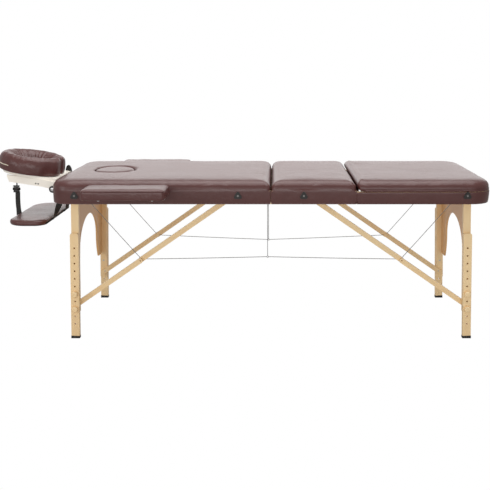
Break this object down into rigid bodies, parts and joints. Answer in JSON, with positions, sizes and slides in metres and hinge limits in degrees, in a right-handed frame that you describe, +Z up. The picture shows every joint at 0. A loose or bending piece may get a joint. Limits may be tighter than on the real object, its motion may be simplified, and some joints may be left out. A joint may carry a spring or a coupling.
{
  "type": "folding massage table",
  "caption": "Portable massage table that folds in half, with lift-back section, folding braced leg frames, height holes, armrests, face plug, tilting face cradle and arm shelf.",
  "frame": {"origin": "middle of the footprint box of the whole table with its cradle, on the floor", "axes": "+X along the table towards the foot end, +Y across it, +Z up"},
  "size_m": [2.1584, 1.002, 0.7937],
  "materials": {
    "vinyl": "satin",
    "beech": "satin",
    "plywood": "satin",
    "steel": "satin",
    "black_plastic": "satin",
    "rubber": "matt",
    "webbing": "matt"
  },
  "bodies": {
    "head_top": {"head_rails": "beech", "head_end_rail": "beech", "head_deck": "plywood", "head_pad": "vinyl", "head_axles": "steel", "head_axle_caps": "black_plastic", "head_hinge_leaves": "steel", "head_cables": "steel", "centre_cables": "steel"},
    "fold_pins": {"hinge_pins": "steel"},
    "foot_top": {"foot_rails": "beech", "foot_end_rail": "beech", "middle_deck": "plywood", "middle_pad": "vinyl", "foot_axles": "steel", "foot_axle_caps": "black_plastic", "foot_hinge_leaves": "steel", "lift_ears": "steel", "foot_cables": "steel"},
    "lift_back": {"lift_board": "plywood", "lift_pad": "vinyl"},
    "props": {"lift_props": "steel"},
    "head_leg_frame": {"head_posts": "beech", "head_end_panel": "plywood", "head_leg_bolts": "steel"},
    "foot_leg_frame": {"foot_posts": "beech", "foot_end_panel": "plywood", "foot_leg_bolts": "steel"},
    "plug": {"face_plug": "vinyl"},
    "cradle_frame": {"cradle_base": "beech", "rear_straps": "webbing"},
    "cradle_head": {"cradle_arms": "beech", "cradle_plate": "beech", "cradle_cushion": "vinyl"},
    "cam": {"cam_lever": "black_plastic"},
    "shelf": {"arm_shelf": "vinyl"},
    "shelf_strap": {"front_strap": "webbing"},
    "rest_near": {"armrest_near": "vinyl"},
    "rest_far": {"armrest_far": "vinyl"},
    "head_upper_brace": {"head_upper_struts": "beech"},
    "head_lower_brace": {"head_lower_struts": "beech"},
    "head_near_leg": {"leg_head_near": "beech", "rubber_head_near": "rubber"},
    "head_near_upper_knob": {"knob_head_near_upper": "beech"},
    "head_near_lower_knob": {"knob_head_near_lower": "beech"},
    "head_far_leg": {"leg_head_far": "beech", "rubber_head_far": "rubber"},
    "head_far_upper_knob": {"knob_head_far_upper": "beech"},
    "head_far_lower_knob": {"knob_head_far_lower": "beech"},
    "foot_upper_brace": {"foot_upper_struts": "beech"},
    "foot_lower_brace": {"foot_lower_struts": "beech"},
    "foot_near_leg": {"leg_foot_near": "beech", "rubber_foot_near": "rubber"},
    "foot_near_upper_knob": {"knob_foot_near_upper": "beech"},
    "foot_near_lower_knob": {"knob_foot_near_lower": "beech"},
    "foot_far_leg": {"leg_foot_far": "beech", "rubber_foot_far": "rubber"},
    "foot_far_upper_knob": {"knob_foot_far_upper": "beech"},
    "foot_far_lower_knob": {"knob_foot_far_lower": "beech"}
  },
  "joints": [
    {"name": "fold_first", "type": "hinge", "parent": "head_top", "child": "fold_pins", "pos_m": [0.15424, 0, 0.6005], "axis": [0, 1, 0], "range_deg": [0, 90]},
    {"name": "fold_rest", "type": "hinge", "parent": "fold_pins", "child": "foot_top", "pos_m": [0.15424, 0, 0.6005], "axis": [0, 1, 0], "range_deg": [0, 90], "deforming": ["centre_cables"]},
    {"name": "head_leg_fold", "type": "hinge", "parent": "head_top", "child": "head_leg_frame", "pos_m": [-0.66175, 0, 0.64], "axis": [0, -1, 0], "range_deg": [0, 92.5], "deforming": ["head_cables"]},
    {"name": "head_upper_brace_turn", "type": "hinge", "parent": "head_top", "child": "head_upper_brace", "pos_m": [0.01724, 0, 0.64], "axis": [0, -1, 0], "range_deg": [-34.79, 0]},
    {"name": "head_lower_brace_turn", "type": "hinge", "parent": "head_leg_frame", "child": "head_lower_brace", "pos_m": [-0.68712, 0, 0.15064], "axis": [0, -1, 0], "range_deg": [0, 52.71]},
    {"name": "head_near_height", "type": "slide", "parent": "head_leg_frame", "child": "head_near_leg", "axis": [0.0436, 0, 0.999], "range_m": [-0.136, 0.068]},
    {"name": "head_near_upper_knob_turn", "type": "hinge", "parent": "head_leg_frame", "child": "head_near_upper_knob", "pos_m": [-0.69487, -0.318, 0.20248], "axis": [0, -1, 0], "continuous": true},
    {"name": "head_near_lower_knob_turn", "type": "hinge", "parent": "head_leg_frame", "child": "head_near_lower_knob", "pos_m": [-0.69784, -0.318, 0.13455], "axis": [0, -1, 0], "continuous": true},
    {"name": "head_far_height", "type": "slide", "parent": "head_leg_frame", "child": "head_far_leg", "axis": [0.0436, 0, 0.999], "range_m": [-0.136, 0.068]},
    {"name": "head_far_upper_knob_turn", "type": "hinge", "parent": "head_leg_frame", "child": "head_far_upper_knob", "pos_m": [-0.69487, 0.318, 0.20248], "axis": [0, 1, 0], "continuous": true},
    {"name": "head_far_lower_knob_turn", "type": "hinge", "parent": "head_leg_frame", "child": "head_far_lower_knob", "pos_m": [-0.69784, 0.318, 0.13455], "axis": [0, 1, 0], "continuous": true},
    {"name": "foot_leg_fold", "type": "hinge", "parent": "foot_top", "child": "foot_leg_frame", "pos_m": [0.97025, 0, 0.64], "axis": [0, 1, 0], "range_deg": [0, 92.5], "deforming": ["foot_cables"]},
    {"name": "foot_upper_brace_turn", "type": "hinge", "parent": "foot_top", "child": "foot_upper_brace", "pos_m": [0.29124, 0, 0.64], "axis": [0, 1, 0], "range_deg": [-34.79, 0]},
    {"name": "foot_lower_brace_turn", "type": "hinge", "parent": "foot_leg_frame", "child": "foot_lower_brace", "pos_m": [0.99562, 0, 0.15064], "axis": [0, 1, 0], "range_deg": [0, 52.71]},
    {"name": "foot_near_height", "type": "slide", "parent": "foot_leg_frame", "child": "foot_near_leg", "axis": [-0.0436, 0, 0.999], "range_m": [-0.136, 0.068]},
    {"name": "foot_near_upper_knob_turn", "type": "hinge", "parent": "foot_leg_frame", "child": "foot_near_upper_knob", "pos_m": [1.00336, -0.318, 0.20248], "axis": [0, -1, 0], "continuous": true},
    {"name": "foot_near_lower_knob_turn", "type": "hinge", "parent": "foot_leg_frame", "child": "foot_near_lower_knob", "pos_m": [1.00633, -0.318, 0.13455], "axis": [0, -1, 0], "continuous": true},
    {"name": "foot_far_height", "type": "slide", "parent": "foot_leg_frame", "child": "foot_far_leg", "axis": [-0.0436, 0, 0.999], "range_m": [-0.136, 0.068]},
    {"name": "foot_far_upper_knob_turn", "type": "hinge", "parent": "foot_leg_frame", "child": "foot_far_upper_knob", "pos_m": [1.00336, 0.318, 0.20248], "axis": [0, 1, 0], "continuous": true},
    {"name": "foot_far_lower_knob_turn", "type": "hinge", "parent": "foot_leg_frame", "child": "foot_far_lower_knob", "pos_m": [1.00633, 0.318, 0.13455], "axis": [0, 1, 0], "continuous": true},
    {"name": "lift_back_lift", "type": "hinge", "parent": "foot_top", "child": "lift_back", "pos_m": [0.53824, 0, 0.68015], "axis": [0, -1, 0], "range_deg": [0, 60]},
    {"name": "prop_swing", "type": "hinge", "parent": "lift_back", "child": "props", "pos_m": [0.72825, 0, 0.6497], "axis": [0, -1, 0], "range_deg": [-140.57, 0]},
    {"name": "plug_lift", "type": "slide", "parent": "head_top", "child": "plug", "axis": [0, 0, 1], "range_m": [0, 0.06]},
    {"name": "near_armrest_out", "type": "slide", "parent": "head_top", "child": "rest_near", "axis": [0, -1, 0], "range_m": [0, 0.03]},
    {"name": "far_armrest_out", "type": "slide", "parent": "head_top", "child": "rest_far", "axis": [0, 1, 0], "range_m": [0, 0.03]},
    {"name": "cradle_out", "type": "slide", "parent": "head_top", "child": "cradle_frame", "axis": [-1, 0, 0], "range_m": [0, 0.06]},
    {"name": "cradle_tilt", "type": "hinge", "parent": "cradle_frame", "child": "cradle_head", "pos_m": [-0.81176, 0, 0.632], "axis": [0, -1, 0], "range_deg": [0, 40], "deforming": ["rear_straps"]},
    {"name": "cam_turn", "type": "hinge", "parent": "cradle_frame", "child": "cam", "pos_m": [-0.81176, 0, 0.632], "axis": [0, -1, 0], "range_deg": [0, 85]},
    {"name": "shelf_swing", "type": "hinge", "parent": "cradle_frame", "child": "shelf", "pos_m": [-0.81176, 0, 0.46], "axis": [0, -1, 0], "range_deg": [0, 40]},
    {"name": "strap_swing", "type": "hinge", "parent": "shelf", "child": "shelf_strap", "pos_m": [-1.01375, 0, 0.51], "axis": [0, -1, 0], "range_deg": [-40, 0]}
  ],
  "couplings": [
    {"joint": "head_upper_brace_turn", "follows": "head_leg_fold", "ratio": -0.3761},
    {"joint": "head_lower_brace_turn", "follows": "head_leg_fold", "ratio": 0.56984},
    {"joint": "foot_upper_brace_turn", "follows": "foot_leg_fold", "ratio": -0.3761},
    {"joint": "foot_lower_brace_turn", "follows": "foot_leg_fold", "ratio": 0.56984},
    {"joint": "prop_swing", "follows": "lift_back_lift", "ratio": -2.3428},
    {"joint": "shelf_swing", "follows": "cradle_tilt", "ratio": 1},
    {"joint": "strap_swing", "follows": "cradle_tilt", "ratio": -1}
  ]
}
